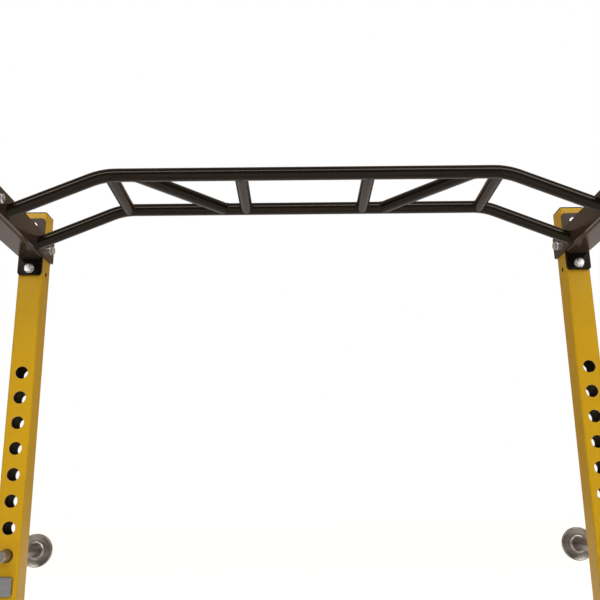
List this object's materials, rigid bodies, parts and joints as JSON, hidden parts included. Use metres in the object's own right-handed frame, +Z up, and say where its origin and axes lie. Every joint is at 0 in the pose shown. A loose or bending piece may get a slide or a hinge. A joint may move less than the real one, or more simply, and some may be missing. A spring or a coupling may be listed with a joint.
{
  "type": "multi-grip pull-up rig",
  "caption": "Free-standing steel rig: drilled square posts, side beams and an overhead bar with parallel and slanted hand grips, on base rails.",
  "frame": {"origin": "on the floor at the middle of the rig's footprint", "axes": "+X right along the grip bar, +Y from the rear posts to the front posts that carry the grip bar, +Z up"},
  "size_m": [1.22, 1.315, 2.1225],
  "materials": {
    "yellow_paint": "glossy powder coat",
    "black_paint": "satin powder coat",
    "bright_zinc": "bright zinc plate",
    "turned_steel": "turned and polished",
    "plated_steel": "matt zinc plate",
    "black_plastic": "fine texture",
    "rubber": "matt"
  },
  "bodies": {
    "frame": {"base_cross_bolts": "bright_zinc", "base_cross_left_flange": "black_paint", "base_cross_nuts": "bright_zinc", "base_cross_right_flange": "black_paint", "base_cross_washers": "bright_zinc", "base_crossmember": "black_paint", "base_rail_caps": "black_plastic", "beam_flange_bolts": "bright_zinc", "beam_flange_nuts": "bright_zinc", "beam_flange_washers": "bright_zinc", "diagonal_grip_left": "black_paint", "diagonal_grip_right": "black_paint", "foot_plate_bolts": "bright_zinc", "foot_plate_nuts": "bright_zinc", "foot_plate_washers": "bright_zinc", "front_left_foot_plate": "yellow_paint", "front_left_post": "yellow_paint", "front_long_rail": "black_paint", "front_right_foot_plate": "yellow_paint", "front_right_post": "yellow_paint", "grip_bar_bolts": "bright_zinc", "grip_bar_left_end_plate": "black_paint", "grip_bar_nuts": "bright_zinc", "grip_bar_right_end_plate": "black_paint", "grip_bar_washers": "bright_zinc", "inner_grip_left": "black_paint", "inner_grip_right": "black_paint", "left_base_rail": "black_paint", "left_beam_front_flange": "black_paint", "left_beam_rear_flange": "black_paint", "left_top_beam": "black_paint", "outer_grip_left": "black_paint", "outer_grip_right": "black_paint", "post_caps": "black_plastic", "rear_bar": "black_paint", "rear_bar_bolts": "bright_zinc", "rear_bar_left_end_plate": "black_paint", "rear_bar_nuts": "bright_zinc", "rear_bar_right_end_plate": "black_paint", "rear_bar_washers": "bright_zinc", "rear_left_foot_plate": "yellow_paint", "rear_left_post": "yellow_paint", "rear_long_rail": "black_paint", "rear_right_foot_plate": "yellow_paint", "rear_right_post": "yellow_paint", "right_base_rail": "black_paint", "right_beam_front_flange": "black_paint", "right_beam_rear_flange": "black_paint", "right_top_beam": "black_paint", "rubber_feet": "rubber"},
    "left_hook": {"left_hook_peg": "turned_steel", "left_hook_disc": "turned_steel", "left_hook_back_plate": "plated_steel"},
    "right_hook": {"right_hook_peg": "turned_steel", "right_hook_disc": "turned_steel", "right_hook_back_plate": "plated_steel"},
    "left_lock_pin": {"left_lock_pin_shaft": "plated_steel", "left_lock_pin_head": "plated_steel"},
    "right_lock_pin": {"right_lock_pin_shaft": "plated_steel", "right_lock_pin_head": "plated_steel"}
  },
  "joints": [
    {"name": "left_hook_slide", "type": "slide", "parent": "frame", "child": "left_hook", "axis": [0, 1, 0], "range_m": [0, 0.11]},
    {"name": "left_lock_pin_slide", "type": "slide", "parent": "frame", "child": "left_lock_pin", "axis": [0, -1, 0], "range_m": [0, 0.08]},
    {"name": "right_hook_slide", "type": "slide", "parent": "frame", "child": "right_hook", "axis": [0, 1, 0], "range_m": [0, 0.11]},
    {"name": "right_lock_pin_slide", "type": "slide", "parent": "frame", "child": "right_lock_pin", "axis": [0, -1, 0], "range_m": [0, 0.08]}
  ]
}
